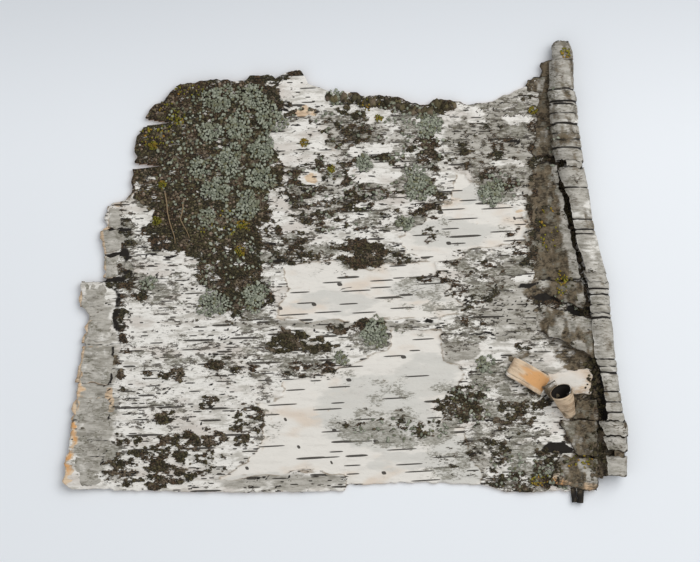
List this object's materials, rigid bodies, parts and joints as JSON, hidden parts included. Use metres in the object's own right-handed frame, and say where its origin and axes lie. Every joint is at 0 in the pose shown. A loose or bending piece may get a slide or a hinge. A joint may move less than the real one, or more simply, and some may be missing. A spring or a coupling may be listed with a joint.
{
  "type": "piece of birch bark",
  "caption": "Flat sheet of weathered birch bark with one margin rolled into a scroll, a peeled curl, and lichens, brown crust and moss on its face.",
  "frame": {"origin": "on the ground, under the middle of the whole piece's bounding box", "axes": "+X around the trunk, the way the lenticels lie, towards the scroll; +Y up the trunk; +Z off the white outer face, upwards"},
  "size_m": [0.308, 0.2538, 0.0146],
  "materials": {
    "bark": "matte, papery, weathered",
    "crust": "rough, granular",
    "lichen": "dry, matte",
    "moss": "soft, matte",
    "stem": "dry, matte"
  },
  "bodies": {
    "root": {"bark": "bark", "crust_left": "crust", "crust_lower_left": "crust", "crust_lower_middle": "crust", "crust_lower_right": "crust", "crust_middle": "crust", "crust_right": "crust", "crust_top_edge": "crust", "crust_top_left": "crust", "crust_upper_middle": "crust", "dead_stem_01": "stem", "dead_stem_02": "stem", "lichen_01": "lichen", "lichen_02": "lichen", "lichen_03": "lichen", "lichen_04": "lichen", "lichen_05": "lichen", "lichen_06": "lichen", "lichen_07": "lichen", "lichen_08": "lichen", "lichen_09": "lichen", "lichen_10": "lichen", "lichen_11": "lichen", "lichen_12": "lichen", "lichen_13": "lichen", "lichen_14": "lichen", "lichen_15": "lichen", "lichen_16": "lichen", "lichen_17": "lichen", "lichen_18": "lichen", "lichen_19": "lichen", "lichen_20": "lichen", "lichen_21": "lichen", "lichen_22": "lichen", "lichen_23": "lichen", "lichen_24": "lichen", "moss_01": "moss", "moss_02": "moss", "moss_03": "moss", "moss_04": "moss", "moss_05": "moss", "moss_06": "moss", "moss_07": "moss", "moss_08": "moss", "moss_09": "moss", "moss_10": "moss"}
  },
  "joints": []
}
